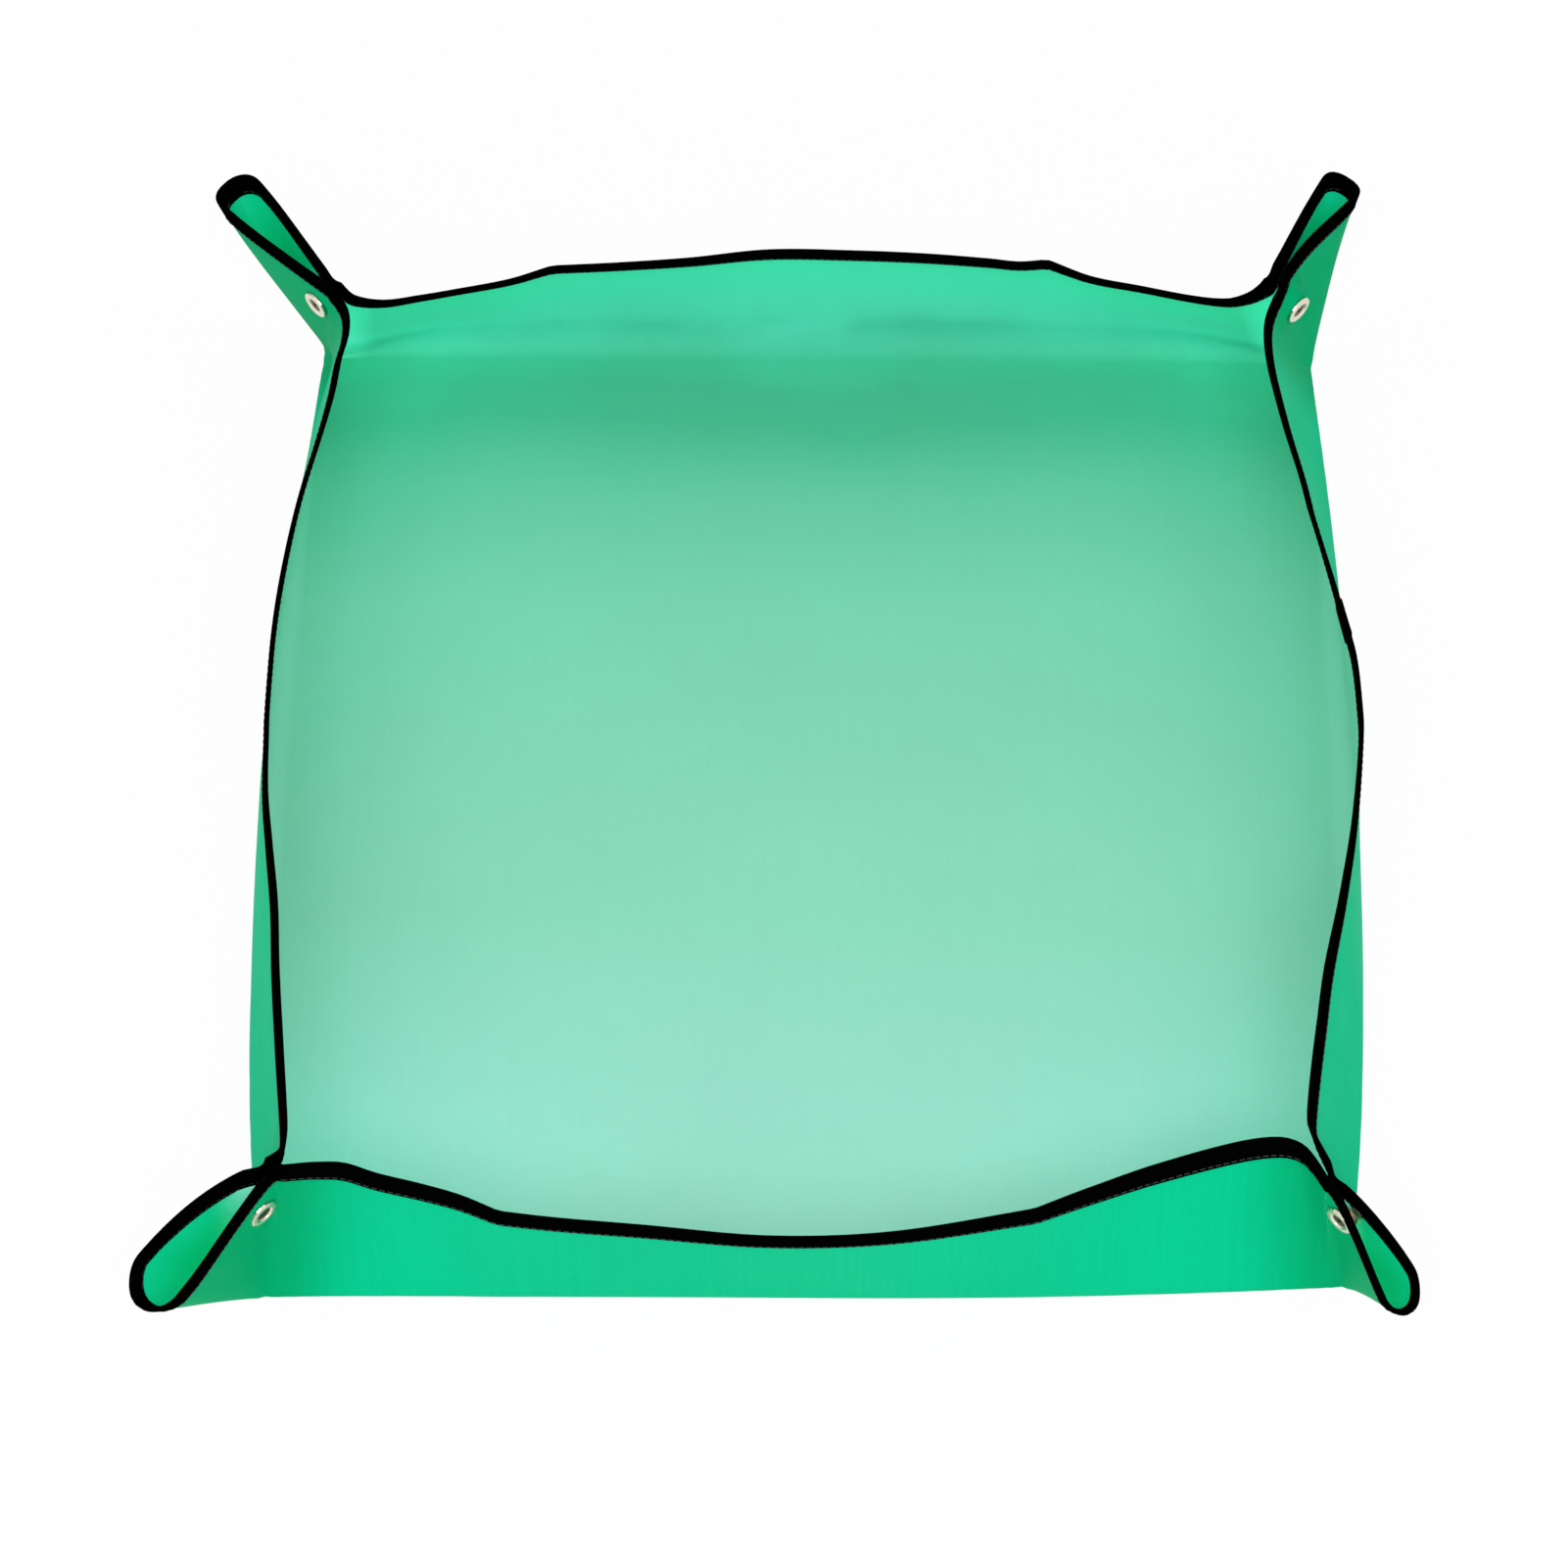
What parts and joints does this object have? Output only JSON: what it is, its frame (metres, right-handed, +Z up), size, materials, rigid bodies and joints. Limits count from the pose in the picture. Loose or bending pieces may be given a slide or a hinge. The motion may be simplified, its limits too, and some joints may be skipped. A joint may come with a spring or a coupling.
{
  "type": "repotting mat",
  "caption": "Square coated fabric mat with a bound edge, its corners snapped into ears so that its sides stand as low tray walls.",
  "frame": {"origin": "middle of the floor panel's underside, on the surface that the mat lies on", "axes": "+Z up; -Y is the front; the walls run along X and Y"},
  "size_m": [0.6174, 0.6174, 0.0942],
  "materials": {
    "coated_fabric": "woven fabric with a waterproof coating, satin",
    "binding_tape": "matte woven tape, folded and sewn",
    "stud_metal": "pale plated press stud"
  },
  "bodies": {
    "floor": {"floor_panel": "coated_fabric"},
    "wall_front_body": {"wall_front": "coated_fabric", "binding_front": "binding_tape"},
    "wall_right_body": {"wall_right": "coated_fabric", "binding_right": "binding_tape", "binding_lap_right": "binding_tape"},
    "wall_back_body": {"wall_back": "coated_fabric", "binding_back": "binding_tape"},
    "wall_left_body": {"wall_left": "coated_fabric", "binding_left": "binding_tape"},
    "ear_front_left_front_body": {"ear_front_left_front": "coated_fabric", "ear_binding_front_left_front": "binding_tape", "snap_post_front_left": "stud_metal", "snap_stud_front_left": "stud_metal"},
    "ear_front_left_left_body": {"ear_front_left_left": "coated_fabric", "ear_binding_front_left_left": "binding_tape", "snap_cap_front_left": "stud_metal", "snap_socket_front_left": "stud_metal", "snap_spring_front_left": "stud_metal"},
    "ear_front_right_front_body": {"ear_front_right_front": "coated_fabric", "ear_binding_front_right_front": "binding_tape", "snap_post_front_right": "stud_metal", "snap_stud_front_right": "stud_metal"},
    "ear_front_right_right_body": {"ear_front_right_right": "coated_fabric", "ear_binding_front_right_right": "binding_tape", "snap_cap_front_right": "stud_metal", "snap_socket_front_right": "stud_metal", "snap_spring_front_right": "stud_metal"},
    "ear_back_right_right_body": {"ear_back_right_right": "coated_fabric", "ear_binding_back_right_right": "binding_tape", "snap_post_back_right": "stud_metal", "snap_stud_back_right": "stud_metal"},
    "ear_back_right_back_body": {"ear_back_right_back": "coated_fabric", "ear_binding_back_right_back": "binding_tape", "snap_cap_back_right": "stud_metal", "snap_socket_back_right": "stud_metal", "snap_spring_back_right": "stud_metal"},
    "ear_back_left_left_body": {"ear_back_left_left": "coated_fabric", "ear_binding_back_left_left": "binding_tape", "snap_post_back_left": "stud_metal", "snap_stud_back_left": "stud_metal"},
    "ear_back_left_back_body": {"ear_back_left_back": "coated_fabric", "ear_binding_back_left_back": "binding_tape", "snap_cap_back_left": "stud_metal", "snap_socket_back_left": "stud_metal", "snap_spring_back_left": "stud_metal"}
  },
  "joints": [
    {"name": "wall_front_fold", "type": "hinge", "parent": "floor", "child": "wall_front_body", "pos_m": [0, -0.25, 0.0004], "axis": [1, 0, 0], "range_deg": [0, 81]},
    {"name": "wall_right_fold", "type": "hinge", "parent": "floor", "child": "wall_right_body", "pos_m": [0.25, 0, 0.0004], "axis": [0, 1, 0], "range_deg": [0, 81]},
    {"name": "wall_back_fold", "type": "hinge", "parent": "floor", "child": "wall_back_body", "pos_m": [0, 0.25, 0.0004], "axis": [-1, 0, 0], "range_deg": [0, 81]},
    {"name": "wall_left_fold", "type": "hinge", "parent": "floor", "child": "wall_left_body", "pos_m": [-0.25, 0, 0.0004], "axis": [0, -1, 0], "range_deg": [0, 81]},
    {"name": "ear_front_left_front_fold", "type": "hinge", "parent": "wall_front_body", "child": "ear_front_left_front_body", "pos_m": [-0.24646, -0.25, 0.0004], "axis": [-0.143, -0.143, -0.9793], "range_deg": [0, 39]},
    {"name": "ear_front_left_left_fold", "type": "hinge", "parent": "wall_left_body", "child": "ear_front_left_left_body", "pos_m": [-0.25, -0.24646, 0.0004], "axis": [0.143, 0.143, 0.9793], "range_deg": [0, 39]},
    {"name": "ear_front_right_front_fold", "type": "hinge", "parent": "wall_front_body", "child": "ear_front_right_front_body", "pos_m": [0.24646, -0.25, 0.0004], "axis": [-0.143, 0.143, 0.9793], "range_deg": [0, 39]},
    {"name": "ear_front_right_right_fold", "type": "hinge", "parent": "wall_right_body", "child": "ear_front_right_right_body", "pos_m": [0.25, -0.24646, 0.0004], "axis": [0.143, -0.143, -0.9793], "range_deg": [0, 39]},
    {"name": "ear_back_right_right_fold", "type": "hinge", "parent": "wall_right_body", "child": "ear_back_right_right_body", "pos_m": [0.25, 0.24646, 0.0004], "axis": [-0.143, -0.143, 0.9793], "range_deg": [0, 39]},
    {"name": "ear_back_right_back_fold", "type": "hinge", "parent": "wall_back_body", "child": "ear_back_right_back_body", "pos_m": [0.24646, 0.25, 0.0004], "axis": [0.143, 0.143, -0.9793], "range_deg": [0, 39]},
    {"name": "ear_back_left_left_fold", "type": "hinge", "parent": "wall_left_body", "child": "ear_back_left_left_body", "pos_m": [-0.25, 0.24646, 0.0004], "axis": [-0.143, 0.143, -0.9793], "range_deg": [0, 39]},
    {"name": "ear_back_left_back_fold", "type": "hinge", "parent": "wall_back_body", "child": "ear_back_left_back_body", "pos_m": [-0.24646, 0.25, 0.0004], "axis": [0.143, -0.143, 0.9793], "range_deg": [0, 39]}
  ],
  "couplings": [
    {"joint": "wall_right_fold", "follows": "wall_front_fold", "ratio": 1},
    {"joint": "wall_back_fold", "follows": "wall_front_fold", "ratio": 1},
    {"joint": "wall_left_fold", "follows": "wall_front_fold", "ratio": 1},
    {"joint": "ear_front_left_front_fold", "follows": "wall_front_fold", "ratio": 0.481},
    {"joint": "ear_front_left_left_fold", "follows": "wall_front_fold", "ratio": 0.481},
    {"joint": "ear_front_right_front_fold", "follows": "wall_front_fold", "ratio": 0.481},
    {"joint": "ear_front_right_right_fold", "follows": "wall_front_fold", "ratio": 0.481},
    {"joint": "ear_back_right_right_fold", "follows": "wall_front_fold", "ratio": 0.481},
    {"joint": "ear_back_right_back_fold", "follows": "wall_front_fold", "ratio": 0.481},
    {"joint": "ear_back_left_left_fold", "follows": "wall_front_fold", "ratio": 0.481},
    {"joint": "ear_back_left_back_fold", "follows": "wall_front_fold", "ratio": 0.481}
  ]
}
